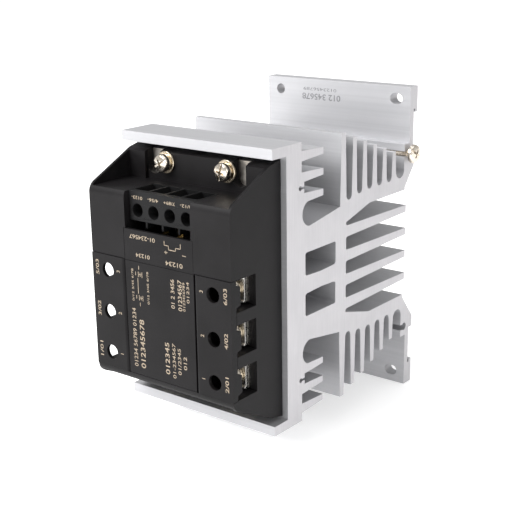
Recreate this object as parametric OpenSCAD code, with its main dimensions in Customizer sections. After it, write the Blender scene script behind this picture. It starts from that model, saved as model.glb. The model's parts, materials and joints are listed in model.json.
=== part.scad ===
// Three-phase solid state relay on an extruded aluminium heatsink.
// The origin is the middle of the rear mounting face: X to the right, Y to the rear, Z up.
// The relay's front looks towards -Y, and every Y position in front of the panel is negative.

/* [Heatsink] */
// Width of the heatsink, along the extrusion
sink_w = 80; // [78:1:110]
// Depth from the rear mounting face to the front of the flanges
sink_d = 109.2; // [104:0.2:140]
// Height over the two front flanges
flange_span = 119.4; // [118:0.2:128]
// Thickness of each front flange
flange_t = 4.2; // [3:0.1:4.6]
// Depth of the channel that holds the relay module
channel_d = 9; // [7:0.5:12]
// Thickness of the heat spreader plate
spreader_t = 10.1; // [8:0.1:11]
// Depth of the open chamber between the spreader plate and the spine
chamber_d = 27.7; // [26:0.1:34]
// Thickness of the spine that carries the fins
spine_t = 4.7; // [3.5:0.1:5.5]

/* [Fins] */
// Reach of the short fins behind the spreader plate
short_fin_l = 15.2; // [10:0.2:18]
// Distance between short fins
short_fin_pitch = 8.6; // [8.2:0.1:9]
// Thickness of a short fin at its root
short_fin_t = 4.2; // [3.2:0.1:4.6]
// Distance between the tall fins
tall_fin_pitch = 8.05; // [7.4:0.05:8.4]
// Thickness of a tall fin at its root
tall_fin_t = 4.2; // [3:0.1:4.6]
// How much lower each tall fin is than the one in front of it
tall_fin_step = 2.9; // [2:0.1:3.6]
// Distance between the level fins
level_fin_pitch = 10.8; // [10:0.1:11]
// Thickness of a level fin at its root
level_fin_t = 5; // [3.5:0.1:6]
// Part of a fin's root thickness that is left at its tip
fin_taper = 0.64; // [0.5:0.02:0.9]

/* [Rear plate] */
// Height of the rear mounting plate
plate_h = 143.4; // [140:0.2:160]
// Thickness of the rear plate
plate_t = 6.2; // [5:0.1:6.6]
// Depth of the two rail recesses in the rear face
recess_d = 3; // [2:0.1:3.4]
// Diameter of the round mounting holes, and width of the slotted ones
mount_hole_d = 4.8; // [4.2:0.1:5.6]
// End-to-end length of the slotted mounting holes
mount_slot_l = 6.6; // [6:0.1:9]
// Distance between the mounting holes, side to side
mount_span_x = 65.2; // [60:0.2:65.6]
// Distance between the mounting holes, top to bottom
mount_span_z = 131.8; // [130:0.2:134]
// Diameter of the screw ports along the rear bosses
port_d = 3.7; // [3.3:0.1:4]

/* [Relay module] */
// Width of the relay's case
case_w = 74.8; // [73:0.2:77]
// Depth of the relay from the spreader plate to its front face
case_d = 32; // [31:0.2:38]
// Height of the front face to where its rounded corners begin
face_h = 75; // [74.4:0.2:76]
// Height of the case at its back
case_h = 108.4; // [107:0.2:110]
// Radius of the rounded top and bottom front corners
corner_r = 5; // [4:0.5:6]
// Thickness of the case walls
wall = 1.3; // [1.1:0.1:1.6]
// Height of the solid middle of the case, between the two screw recesses
middle_h = 80.8; // [80:0.2:82]
// Thickness of the metal base plate
base_t = 3.5; // [3:0.1:4]
// Thickness of the thermal pad
pad_t = 0.3; // [0.2:0.1:0.5]
// Distance between the module screws, side to side
module_span_x = 32.4; // [30:0.2:34]
// Distance between the module screws, top to bottom
module_span_z = 96.6; // [95:0.2:98]

/* [Power terminals] */
// Distance between the phases
phase_pitch = 18.15; // [17.6:0.05:18.4]
// Height of the middle phase
phase_z = -12.6; // [-12.8:0.1:-12.2]
// Distance between the left and right terminal screws
terminal_span = 56.8; // [54:0.2:58]
// Height of each wire window
window_h = 13.1; // [12.4:0.1:13.6]
// Thread diameter of the terminal screws
screw_d = 5; // [4:0.5:5]
// Head diameter of the terminal screws
head_d = 9; // [8:0.2:9.6]
// Gap under each clamp plate with its screw done up
clamp_gap = 0.3; // [0.2:0.1:0.6]
// Diameter of the screwdriver holes in the covers
driver_hole_d = 6.4; // [5:0.1:7]

/* [Control terminals] */
// Distance between the control terminals
control_pitch = 8.7; // [8.3:0.1:8.8]
// Diameter of the screwdriver holes in the control block
control_hole_d = 5.6; // [5:0.1:6]
// How far the control block stands back from the front face
control_inset = 3; // [2:0.2:4]
// How far a control wire clamp rises
control_travel = 2.2; // [1:0.1:2.3]

/* [Hidden] */
$fn = 72;

// Clearances and the overshoot that makes cuts run past a face
slip = 0.2;
run_fit = 0.06;
over = 0.1;

// Heatsink positions along Y
y_flange = -sink_d;
y_seat = y_flange + channel_d;
y_spreader = y_seat + spreader_t;
y_spine = y_spreader + chamber_d;
y_fins = y_spine + spine_t;
flange_z = flange_span / 2;
// Thick bridges that join the spreader plate to the spine
bridge_z = 13.7;
bridge_top_z = 24.6;
bridge_rise = 3.4;
web_z = 4;
duct_inset = 2.5;
chamber_r = 5.3;
fillet_r = 1;
// Short fins, counted from the flange
short_fin_z = flange_z - 5.7;
// Screw port in the floor of the gap between the second and third short fin
pcb_port_r = 1;
pcb_port_z = short_fin_z - 1.5 * short_fin_pitch;
pcb_port_boss = 1.8;
// Arms that carry the rear plate
arm_z = 31.4;
arm_root_z = 29.3;
arm_under_z = 25.2;
arm_under_root_z = 20.2;
arm_kink = 18.6;
arm_knee_rise = 1.4;
tall_fins = 5;
tall_fin_z = flange_z - 0.8;
// Rear bosses with their screw ports
boss_reach = 4.2;
boss_y = -plate_t - boss_reach;
boss_z = 46.3;
boss_foot_z = 43.4;
chamfer_z = 38.1;
port_y = -7.3;
port_z = 41.8;
port_mouth = 2.6;
hook_z = flange_z + 0.3;
hook_slit = 1.2;
hook_slit_h = 1.5;
level_fin_end = -8;
mount_slot_run = mount_slot_l - mount_hole_d;
// Height of the arm's upper side, which rises in two slopes
function arm_height(y) = lookup(y, [
    [y_fins, arm_root_z],
    [y_fins + tall_fin_pitch, arm_root_z + arm_knee_rise],
    [y_fins + 2 * tall_fin_pitch, arm_z]
]);
function tall_fin_y(i) = y_fins - 1.9 + i * tall_fin_pitch;

// Relay positions along Y
y_front = y_seat - case_d;
y_base = y_seat - pad_t - base_t;
flange_floor = 3.7;
y_floor = y_base - flange_floor;
raised_floor = 1.5;
cover_proud = 0.3;
cover_t = 1.6;
skirt_t = 1.4;
y_cover = y_front - cover_proud;
y_ledge = y_front + cover_t;
// Relay sizes across
half_w = case_w / 2;
middle_z = middle_h / 2;
panel_half_w = 18.5;
panel_top_z = 25.2;
panel_bottom_z = -37.4;
cover_top_z = 12.1;
panel_groove_z = 11.8;
panel_groove_w = 0.3;
cover_bottom_z = panel_bottom_z;
hinge_r = 1.5;
hinge_gap = 0.3;
hinge_x = panel_half_w + hinge_gap + hinge_r;
hinge_y = y_cover + hinge_r;
hinge_pin_r = 0.7;
hinge_pin_l = 1.2;
core_half_w = 17.6;
core_low_half_w = 16.2;
room_x = 19.4;
roof_t = 1.8;
// Power terminals
pad_front = 13.7;
y_pad = y_front + pad_front;
strap_t = 1.2;
clamp_t = 1.2;
spring_t = 1.2;
head_t = 3;
room_half_h = window_h / 2;
pad_half_h = 5.4;
strap_half_h = 5;
clamp_half_x = 5.5;
pad_out_x = terminal_span / 2 + clamp_half_x;
pad_in_x = 11;
nut_af = 8;
nut_t = 4;
shaft_l = 11;
y_clamp = y_pad - clamp_gap;
y_head = y_clamp - clamp_t - spring_t;
window_back = pad_front + strap_t + 0.1;
skirt_edge = 3.2;
tab_edge = 5.8;
// Board and its parts
y_board = y_front + 9.5;
board_t = 1.6;
board_half_w = 17.3;
board_top_z = 21;
board_bottom_z = -36;
ceramic_t = 0.8;
ceramic_half_h = 5.4;
gate_pin_z = 4.5;
chip_t = 0.5;
y_ceramic = y_base - ceramic_t;
// Control block
y_control = y_front + control_inset;
control_half_w = 17.4;
control_low_z = 28.2;
control_z = 32.6;
y_seat_screw = y_control + 9;
control_back = y_floor + 0.7;
control_roof_y = y_front + 18.3;
cage_half_w = 3.1;
cage_t = 1;
cage_d = 8;
y_cage = y_seat_screw + control_travel + 1.2;
cage_half_h = 2.6;
cage_front_t = 1.5;
contact_t = 1;
contact_half_w = 1.5;
y_contact = y_cage + 3.1;
control_screw_d = 3;
control_head_d = 5;
control_head_t = 2;
// Earthing screw, held in the upper rear screw port
ground_d = port_d - 2 * run_fit;
ground_head_d = 8.6;
ground_head_t = 2.6;
ground_gap = 1.9;
ground_l = 14;
// Module screws and their washers
module_screw_d = 4;
module_head_d = 7.6;
module_head_t = 2.6;
module_screw_l = 16;
module_tap_depth = 8.5;
module_spring_t = 1;
module_washer_t = 0.8;
y_washer = y_floor - module_washer_t;
y_module_spring = y_washer - module_spring_t;
// Notches in the floor of the screw recesses
notch_x = 23.1;
notch_r = 3.7;
notch_z = middle_z + 2.2;

// ---------- shared shapes ----------

// A flat outline in (Y, Z) drawn out along X, centred on x
module along_x(length, x = 0) {
    translate([x, 0, 0])
        rotate([90, 0, 90])
            linear_extrude(height = length, center = true)
                children();
}

// A round bar along Y from y0 to y1
module rod_y(r, y0, y1) {
    translate([0, y0, 0])
        rotate([-90, 0, 0])
            cylinder(r = r, h = y1 - y0);
}

// A round bar along X from x0 to x1
module rod_x(r, x0, x1) {
    translate([x0, 0, 0])
        rotate([0, 90, 0])
            cylinder(r = r, h = x1 - x0);
}

// A box given by its two corners
module block(low, high) {
    translate(low)
        cube(high - low);
}

// The same shape above and below the middle
module both_ends() {
    children();
    mirror([0, 0, 1])
        children();
}

// A tapered fin outline from a root to a tip, level, centred on z
module level_fin(y0, y1, z, root_t) {
    tip_t = root_t * fin_taper;
    polygon([
        [y0, z - root_t / 2],
        [y1, z - tip_t / 2],
        [y1, z + tip_t / 2],
        [y0, z + root_t / 2]
    ]);
}

// A tapered upright fin outline, centred on y
module upright_fin(y, z0, z1, root_t) {
    tip_t = root_t * fin_taper;
    polygon([
        [y - root_t / 2, z0],
        [y + root_t / 2, z0],
        [y + tip_t / 2, z1],
        [y - tip_t / 2, z1]
    ]);
}

// Cross recess, cut into a head whose top faces -Y at y
module cross_recess(y, size) {
    for (turn = [0, 90])
        rotate([0, turn, 0])
            block([-size / 2, y - over, -size / 9], [size / 2, y + size * 0.3, size / 9]);
    rod_y(size * 0.2, y - over, y + size * 0.42);
}

// Pan-head screw along Y: the head's seat is at y, the shaft runs to +Y
module pan_screw(y, d, head, head_h, length) {
    edge = head_h * 0.45;
    difference() {
        union() {
            rod_y(head / 2, y - head_h + edge, y);
            translate([0, y - head_h + edge, 0])
                rotate([90, 0, 0])
                    cylinder(r1 = head / 2, r2 = head / 2 - edge, h = head_h - edge);
            rod_y(d / 2, y - over, y + length);
        }
        cross_recess(y - head_h, head * 0.56);
    }
}

// A split spring washer along Y, with its front face at y
module split_washer(y, d, outer, thickness) {
    difference() {
        rod_y(outer / 2, y, y + thickness);
        rod_y(d / 2 + run_fit, y - over, y + thickness + over);
        translate([0, y + thickness / 2, outer / 2])
            rotate([0, 0, 35])
                cube([0.7, thickness * 3, outer / 2 + 1], center = true);
    }
}

// ---------- heatsink ----------

// An outline in (Y, Z) drawn out to the full width of the extrusion
module bar() {
    along_x(sink_w)
        children();
}

// A round port along the whole extrusion
module port(y, z, r) {
    translate([0, y, z])
        rod_x(r, -sink_w, sink_w);
}

// Rounded inner corner at (y, z), on the side that the signs sy and sz point to
module fillet(y, z, sy, sz) {
    difference() {
        bar()
            translate([sy > 0 ? y - over : y - fillet_r, sz > 0 ? z - over : z - fillet_r])
                square(fillet_r + over);
        port(y + sy * fillet_r, z + sz * fillet_r, fillet_r);
    }
}

// Rounded bottom of a gap from y0 to y1 with its lowest point at z
module gap_foot(y0, y1, z) {
    r = (y1 - y0) / 2;
    difference() {
        bar()
            translate([y0 - over, z - 2 * r])
                square([2 * (r + over), 3 * r]);
        port(y0 + r, z + r, r);
    }
}

// One half of the front: flange, spreader plate, short fins, bridge and half a web
module spreader_half() {
    bar()
        translate([y_flange, flange_z - flange_t])
            square([channel_d + spreader_t, flange_t]);
    bar()
        translate([y_seat, -over])
            square([spreader_t, flange_z + over]);
    for (i = [0:2])
        bar()
            level_fin(y_spreader - over, y_spreader + short_fin_l,
                short_fin_z - i * short_fin_pitch, short_fin_t);
    // Boss around the small screw port
    bar()
        translate([y_spreader - over, pcb_port_z - short_fin_pitch / 2])
            square([pcb_port_boss + over, short_fin_pitch]);
    // Rounded end of the open chamber, under the third short fin
    difference() {
        bar()
            translate([y_spreader - over, bridge_top_z - over])
                square([chamber_r + over, 2 * chamber_r + over]);
        port(y_spreader + chamber_r + 0.5, bridge_top_z + chamber_r, chamber_r);
    }
    // Bridge to the spine
    bar()
        polygon([
            [y_spreader - over, bridge_z],
            [y_spine + over, bridge_z],
            [y_spine + over, bridge_top_z + bridge_rise],
            [y_spreader + chamber_r + 0.5, bridge_top_z],
            [y_spreader - over, bridge_top_z]
        ]);
    // Ends of the closed duct
    bar()
        translate([y_spreader - over, -over])
            square([duct_inset + over, bridge_z + 2 * over]);
    bar()
        translate([y_spine - duct_inset * 1.3, -over])
            square([duct_inset * 1.3 + over, bridge_z + 2 * over]);
    // Rounded corners of the duct
    for (z = [web_z, bridge_z]) {
        fillet(y_spreader + duct_inset, z, 1, z == web_z ? 1 : -1);
        fillet(y_spine - duct_inset * 1.3, z, -1, z == web_z ? 1 : -1);
    }
    // Waisted web in the middle
    bar()
        polygon([
            [y_spreader - over, -over],
            [y_spine + over, -over],
            [y_spine + over, web_z],
            [(y_spreader + y_spine) / 2, web_z - 0.6],
            [y_spreader - over, web_z]
        ]);
}

// One half of the spine with its tall and level fins and the arm to the rear plate
module spine_half() {
    bar()
        translate([y_spine, -over])
            square([spine_t, arm_z + over]);
    bar()
        upright_fin((y_spine + y_fins) / 2, arm_z - over, tall_fin_z, spine_t);
    for (i = [1:tall_fins])
        bar()
            upright_fin(tall_fin_y(i), arm_root_z, tall_fin_z - i * tall_fin_step, tall_fin_t);
    for (i = [0, 1]) {
        bar()
            level_fin(y_fins - over, level_fin_end, (i + 0.5) * level_fin_pitch, level_fin_t);
        for (side = [-1, 1])
            fillet(y_fins, (i + 0.5) * level_fin_pitch + side * level_fin_t / 2, 1, side);
    }
    // Rounded bottoms of the gaps between the tall fins
    for (i = [0:tall_fins - 1])
        gap_foot(i == 0 ? y_fins : tall_fin_y(i) + tall_fin_t / 2,
            tall_fin_y(i + 1) - tall_fin_t / 2, arm_height(y_fins + (i + 0.3) * tall_fin_pitch));
    bar()
        polygon([
            [y_fins - over, arm_root_z],
            [y_fins + tall_fin_pitch, arm_root_z + arm_knee_rise],
            [y_fins + 2 * tall_fin_pitch, arm_z],
            [boss_y + 1, arm_z],
            [boss_y + 1, arm_under_z],
            [y_fins + arm_kink, arm_under_z],
            [y_fins - over, arm_under_root_z]
        ]);
}

// One half of the rear plate with its boss, screw port and rail hook
module rear_plate_half() {
    last_gap = boss_y - tall_fin_y(tall_fins) - tall_fin_t / 2 + 0.2;
    difference() {
        union() {
            bar()
                polygon([
                    [boss_y, arm_under_z],
                    [0, chamfer_z],
                    [0, boss_foot_z],
                    [-recess_d, boss_foot_z],
                    [-recess_d, hook_z],
                    [0, hook_z],
                    [0, plate_h / 2],
                    [-plate_t, plate_h / 2],
                    [-plate_t, boss_z],
                    [boss_y, boss_z]
                ]);
            // Rounded foot of the last gap between tall fins
            bar()
                translate([boss_y - last_gap, arm_z - over])
                    square([last_gap + over, last_gap / 2]);
        }
        port(boss_y - last_gap / 2, arm_z + last_gap / 2, last_gap / 2);
        port(port_y, port_z, port_d / 2);
        bar()
            translate([boss_y - over, port_z - port_mouth / 2])
                square([port_y - boss_y, port_mouth]);
        bar()
            translate([-recess_d - over, hook_z - over])
                square([hook_slit + over, hook_slit_h + over]);
    }
}

// Mounting holes at one end of the rear plate: round on the left, a slot on the right
module mounting_holes() {
    translate([-mount_span_x / 2, 0, 0])
        rod_y(mount_hole_d / 2, -plate_t - over, over);
    translate([mount_span_x / 2, 0, 0]) {
        for (end = [-1, 1])
            translate([end * mount_slot_run / 2, 0, 0])
                rod_y(mount_hole_d / 2, -plate_t - over, over);
        block([-mount_slot_run / 2, -plate_t - over, -mount_hole_d / 2],
            [mount_slot_run / 2, over, mount_hole_d / 2]);
    }
}

module heatsink() {
    color("gainsboro")
        difference() {
            both_ends() {
                spreader_half();
                spine_half();
                rear_plate_half();
            }
            both_ends() {
                translate([0, 0, mount_span_z / 2])
                    mounting_holes();
                // Small screw port and its mouth
                port(y_spreader - pcb_port_r * 0.9, pcb_port_z, pcb_port_r);
                bar()
                    translate([y_spreader - pcb_port_r, pcb_port_z - pcb_port_r / 2])
                        square([pcb_port_boss + 2 * pcb_port_r, pcb_port_r]);
            }
            // Tapped holes for the module screws
            at_module_screws()
                rod_y(module_screw_d / 2 + run_fit, y_seat - over, y_seat + module_tap_depth);
        }
}

// Earthing screw in the upper screw port, let out a little for its wire
module ground_screw() {
    color("tan")
        translate([sink_w / 2 + ground_gap, port_y, port_z])
            rotate([0, 0, 90])
                pan_screw(0, ground_d, ground_head_d, ground_head_t, ground_l);
}

// ---------- module base and fixings ----------

module at_module_screws() {
    for (x = [-1, 1], z = [-1, 1])
        translate([x * module_span_x / 2, 0, z * module_span_z / 2])
            children();
}

module thermal_pad() {
    color("lightgray")
        difference() {
            block([-half_w + 2 * wall, y_seat - pad_t, -case_h / 2 + 2 * wall],
                [half_w - 2 * wall, y_seat, case_h / 2 - 2 * wall]);
            at_module_screws()
                rod_y(module_screw_d / 2 + slip, y_seat - 1, y_seat + 1);
        }
}

module base_plate() {
    color("silver")
        difference() {
            block([-half_w + wall + slip, y_base, -case_h / 2 + wall + slip],
                [half_w - wall - slip, y_base + base_t, case_h / 2 - wall - slip]);
            at_module_screws()
                rod_y(module_screw_d / 2 + slip, y_base - 1, y_base + base_t + 1);
        }
}

module module_screws() {
    color("wheat")
        at_module_screws()
            pan_screw(y_module_spring, module_screw_d, module_head_d, module_head_t, module_screw_l);
}

module module_spring_washers() {
    color("wheat")
        at_module_screws()
            split_washer(y_module_spring, module_screw_d, module_head_d - 0.4, module_spring_t);
}

module module_flat_washers() {
    color("wheat")
        at_module_screws()
            difference() {
                rod_y(module_head_d / 2 + 0.9, y_washer, y_floor);
                rod_y(module_screw_d / 2 + run_fit, y_washer - over, y_floor + over);
            }
}

// ---------- case ----------

// Upper half of the case's outside: flat front, rounded corner, slanted end
module case_half() {
    slope = atan2(case_h / 2 - middle_z, case_d - flange_floor);
    arc_y = y_front + corner_r;
    arc_z = face_h / 2;
    tangent = [arc_y - corner_r * sin(slope), arc_z + corner_r * cos(slope)];
    kink_y = y_floor + 0.2;
    kink_z = tangent[1] + (kink_y - tangent[0]) * tan(slope);
    along_x(case_w)
        polygon([
            [y_front, -over],
            [y_front, arc_z],
            [arc_y, arc_z],
            tangent,
            [kink_y, min(kink_z, case_h / 2)],
            [y_seat - pad_t, case_h / 2],
            [y_seat - pad_t, -over]
        ]);
    translate([0, arc_y, arc_z])
        rod_x(corner_r, -case_w / 2, case_w / 2);
}

// Open recess at one end of the case, with the floor that the module screws clamp
module screw_recess() {
    block([-notch_x - notch_r - slip, y_front - 1, middle_z],
        [notch_x + notch_r + slip, y_floor, case_h]);
    block([-half_w + wall, y_front - 1, middle_z],
        [half_w - wall, y_floor - raised_floor, case_h]);
    // U-shaped notches that show the base plate
    for (side = [-1, 1])
        translate([side * notch_x, 0, notch_z + notch_r]) {
            rod_y(notch_r, y_floor - 1, y_base + over);
            block([-notch_r, y_floor - 1, 0], [notch_r, y_base + over, case_h]);
        }
}

// One terminal's room, its wire window, the nut's pocket and the way in for its strap
module terminal_room() {
    block([room_x, y_front, -room_half_h],
        [half_w - wall, y_pad + strap_t, room_half_h]);
    block([half_w - wall - over, y_front, -room_half_h],
        [half_w + 1, y_front + window_back, room_half_h]);
    block([core_low_half_w - over, y_pad - over, -strap_half_h - over],
        [room_x + over, y_pad + strap_t, strap_half_h + over]);
    translate([terminal_span / 2, 0, 0]) {
        rod_y(screw_d / 2 + slip, y_pad, y_base + over);
        translate([0, y_pad, 0])
            rotate([-90, 0, 0])
                cylinder(d = (nut_af + slip) / cos(30), h = strap_t + nut_t, $fn = 6);
    }
}

module at_phases() {
    for (phase = [-1:1])
        translate([0, 0, phase_z + phase * phase_pitch])
            children();
}

// Everything cut from the right side of the case
module case_right_cuts() {
    at_phases()
        terminal_room();
    // Seat of the terminal cover, its skirt and its hinge barrel
    block([hinge_x, y_cover - 1, cover_bottom_z - slip],
        [half_w + 1, y_cover + cover_t + slip, cover_top_z + slip]);
    block([half_w - skirt_t - slip, y_cover - 1, cover_bottom_z - slip],
        [half_w + 1, y_cover + skirt_edge + slip, cover_top_z + slip]);
    translate([hinge_x, hinge_y, cover_bottom_z - slip])
        cylinder(r = hinge_r + hinge_gap, h = cover_top_z - cover_bottom_z + 2 * slip);
    block([panel_half_w, y_cover - 1, cover_bottom_z - slip],
        [hinge_x, hinge_y, cover_top_z + slip]);
    translate([hinge_x, hinge_y, cover_bottom_z - hinge_pin_l - slip])
        cylinder(r = hinge_pin_r + run_fit, h = cover_top_z - cover_bottom_z + 2 * (hinge_pin_l + slip));
    // Hollow beside the control block and hollow under the terminal floor
    block([room_x + 0.6, y_front + 2, cover_top_z + 2.6],
        [half_w - wall, y_base + over, middle_z - roof_t]);
    block([room_x + 0.6, y_pad + strap_t + nut_t + 1.2, board_bottom_z],
        [half_w - wall - 0.8, y_base + over, cover_top_z - 0.6]);
}

module case() {
    color([0.12, 0.12, 0.125])
        difference() {
            both_ends()
                case_half();
            both_ends()
                screw_recess();
            at_module_screws()
                rod_y(module_screw_d / 2 + slip, y_floor - 1, y_base + 1);
            // Pocket for the base plate
            block([-half_w + wall, y_base, -case_h / 2 + wall],
                [half_w - wall, y_seat + 1, case_h / 2 - wall]);
            // Room for the board and, behind it, for the power parts
            block([-core_half_w, y_ledge - over, board_bottom_z - 0.5],
                [core_half_w, y_board + board_t, control_low_z]);
            block([-core_low_half_w, y_board, board_bottom_z - 0.5],
                [core_low_half_w, y_base + over, control_low_z]);
            // Place of the front panel and of the control block
            block([-panel_half_w - over, y_front - 1, panel_bottom_z - over],
                [panel_half_w + over, y_ledge, panel_top_z + over]);
            block([-control_half_w - slip, y_front - 1, panel_top_z],
                [control_half_w + slip, control_roof_y, middle_z + 1]);
            block([-control_half_w - slip, control_roof_y - over, panel_top_z],
                [control_half_w + slip, y_base + over, middle_z - roof_t]);
            case_right_cuts();
            mirror([1, 0, 0])
                case_right_cuts();
        }
}

module front_panel() {
    color([0.13, 0.13, 0.135])
        difference() {
            block([-panel_half_w, y_front, panel_bottom_z], [panel_half_w, y_ledge, panel_top_z]);
            block([-panel_half_w - over, y_front - over, panel_groove_z],
                [panel_half_w + over, y_front + panel_groove_w, panel_groove_z + panel_groove_w]);
        }
}

// ---------- terminal covers ----------

// Tab on the cover's skirt that reaches into a wire window
module skirt_tab() {
    root_h = 4.6;
    tip_h = 3.7;
    polygon([
        [y_cover + skirt_edge - over, -root_h],
        [y_cover + tab_edge, -tip_h],
        [y_cover + tab_edge, tip_h],
        [y_cover + skirt_edge - over, root_h]
    ]);
}

module right_cover() {
    difference() {
        union() {
            block([hinge_x, y_cover, cover_bottom_z], [half_w, y_cover + cover_t, cover_top_z]);
            block([half_w - skirt_t, y_cover, cover_bottom_z],
                [half_w, y_cover + skirt_edge, cover_top_z]);
            at_phases()
                along_x(skirt_t, half_w - skirt_t / 2)
                    skirt_tab();
            translate([hinge_x, hinge_y, cover_bottom_z])
                cylinder(r = hinge_r, h = cover_top_z - cover_bottom_z);
            translate([hinge_x, hinge_y, cover_bottom_z - hinge_pin_l])
                cylinder(r = hinge_pin_r, h = cover_top_z - cover_bottom_z + 2 * hinge_pin_l);
        }
        at_phases()
            translate([terminal_span / 2, 0, 0])
                rod_y(driver_hole_d / 2, y_cover - 1, y_cover + cover_t + 1);
    }
}

module right_terminal_cover() {
    color([0.12, 0.12, 0.125])
        right_cover();
}

module left_terminal_cover() {
    color([0.12, 0.12, 0.125])
        mirror([1, 0, 0])
            right_cover();
}

// ---------- control terminals ----------

function control_x(i) = (i - 2.5) * control_pitch;

// Side view of the funnel that leads a wire from the top into its clamp
module funnel_outline() {
    polygon([
        [y_control + 1.2, middle_z + 1],
        [control_roof_y - 1.4, middle_z + 1],
        [control_roof_y - 0.8, middle_z - roof_t - 1],
        [y_cage + cage_d, middle_z - roof_t - 2.4],
        [y_seat_screw + 1, middle_z - roof_t - 2.4]
    ]);
}

module control_terminal_block() {
    cell_half_w = control_pitch / 2 - 0.6;
    color([0.1, 0.1, 0.105])
        difference() {
            union() {
                block([-control_half_w, y_control, control_low_z],
                    [control_half_w, control_back, middle_z - roof_t - slip]);
                block([-control_half_w, y_control, control_low_z],
                    [control_half_w, control_roof_y - slip, middle_z]);
                // Ribs in the gap above the panel
                for (i = [1:3])
                    translate([control_x(i + 0.5), 0, 0])
                        block([-0.5, y_control + 0.4, panel_top_z + 0.4],
                            [0.5, y_control + 4.5, control_low_z + over]);
            }
            for (i = [1:4])
                translate([control_x(i), 0, 0]) {
                    translate([0, 0, control_z]) {
                        rod_y(control_hole_d / 2, y_control - 1, y_seat_screw);
                        rod_y(control_screw_d / 2 + run_fit, y_seat_screw - over, y_seat_screw + 2);
                    }
                    block([-cell_half_w, y_seat_screw + 1, control_low_z + 1],
                        [cell_half_w, control_back - 1, middle_z - roof_t - 2.3]);
                    along_x(2 * cell_half_w)
                        funnel_outline();
                    // Way out for the contact's tail
                    block([-contact_half_w - slip, y_contact - slip, control_low_z - 1],
                        [contact_half_w + slip, y_contact + contact_t + slip, control_low_z + 1.1]);
                }
        }
}

// Current bars that pass through the clamps and turn back to the board
module control_contacts() {
    tail_z = board_top_z - 2.5;
    color("goldenrod")
        for (i = [1:4])
            translate([control_x(i), 0, 0]) {
                block([-contact_half_w, y_contact, tail_z],
                    [contact_half_w, y_contact + contact_t, control_z + cage_half_h + 0.8]);
                block([-contact_half_w, y_board + board_t, tail_z],
                    [contact_half_w, y_contact + over, tail_z + contact_t]);
            }
}

module control_screw(i) {
    color("wheat")
        translate([control_x(i), 0, control_z])
            difference() {
                union() {
                    rod_y(control_head_d / 2, y_seat_screw - control_head_t, y_seat_screw);
                    rod_y(control_screw_d / 2, y_seat_screw - over, y_contact - 0.3);
                }
                cross_recess(y_seat_screw - control_head_t, 3.2);
            }
}

// Rising cage: a square ring around the contact, threaded on its front wall
module control_clamp(i) {
    color("silver")
        translate([control_x(i), 0, control_z])
            difference() {
                block([-cage_half_w, y_cage, -cage_half_h],
                    [cage_half_w, y_cage + cage_d, cage_half_h]);
                block([-cage_half_w + cage_t, y_cage + cage_front_t, -cage_half_h - over],
                    [cage_half_w - cage_t, y_cage + cage_d - cage_t, cage_half_h + over]);
                rod_y(control_screw_d / 2 + run_fit, y_cage - over, y_cage + 2);
            }
}

// ---------- board and power parts ----------

module circuit_board() {
    color("darkgreen")
        block([-board_half_w, y_board, board_bottom_z], [board_half_w, y_board + board_t, board_top_z]);
}

module optocouplers() {
    color([0.85, 0.85, 0.82])
        for (x = [-1, 1], z = [0, 1])
            translate([x * 9, 0, -2 + z * 14])
                block([-3.3, y_board - 3.5, -4.3], [3.3, y_board, 4.3]);
}

module snubber_capacitors() {
    color("royalblue")
        for (z = [-14, -28])
            translate([0, 0, z])
                block([-9, y_board - 7.5, -3], [9, y_board, 3]);
}

module gate_resistors() {
    r = 1.6;
    color("burlywood")
        for (x = [-14, 14], z = [-14, -28])
            translate([x, y_board - r, z - 5])
                cylinder(r = r, h = 10);
}

// Pins that join the board to the thyristor substrates
module gate_pins() {
    color("goldenrod")
        for (phase = [-1, 1], x = [-1.2, 1.2], z = [-gate_pin_z, gate_pin_z])
            translate([x, 0, phase_z + phase * phase_pitch + z])
                rod_y(0.4, y_board + board_t, y_ceramic);
}

module temperature_sensor() {
    color([0.2, 0.2, 0.2])
        translate([7, 0, phase_z - phase_pitch / 2 + 0.8]) {
            block([-3, y_base - 3, -1.5], [3, y_base, 1.5]);
            for (x = [-1.3, 1.3])
                translate([x, 0, 0])
                    rod_y(0.3, y_board + board_t, y_base - 3 + over);
        }
}

module ceramic_substrates() {
    color("white")
        for (phase = [-1, 1])
            translate([0, 0, phase_z + phase * phase_pitch])
                block([-14.5, y_ceramic, -ceramic_half_h], [14.5, y_base, ceramic_half_h]);
}

module thyristor_chips() {
    color("dimgray")
        for (phase = [-1, 1], x = [-1, 1])
            translate([x * 5.5, 0, phase_z + phase * phase_pitch])
                block([-3.5, y_ceramic - chip_t, -4], [3.5, y_ceramic, 4]);
}

// A terminal strap: outer pad with a hole, then a leg down to the substrate
module right_strap() {
    color("silver")
        difference() {
            union() {
                block([room_x + over, y_pad, -pad_half_h], [pad_out_x, y_pad + strap_t, pad_half_h]);
                block([pad_in_x, y_pad, -strap_half_h], [room_x + 1, y_pad + strap_t, strap_half_h]);
                block([pad_in_x, y_pad, -strap_half_h], [pad_in_x + strap_t, y_ceramic, strap_half_h]);
                block([pad_in_x, y_ceramic - strap_t, -strap_half_h],
                    [pad_in_x + 3, y_ceramic, strap_half_h]);
            }
            translate([terminal_span / 2, 0, 0])
                rod_y(screw_d / 2 + slip, y_pad - over, y_pad + strap_t + over);
        }
}

module load_terminals() {
    for (phase = [-1, 1])
        translate([0, 0, phase_z + phase * phase_pitch])
            right_strap();
}

module line_terminals() {
    mirror([1, 0, 0])
        load_terminals();
}

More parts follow.
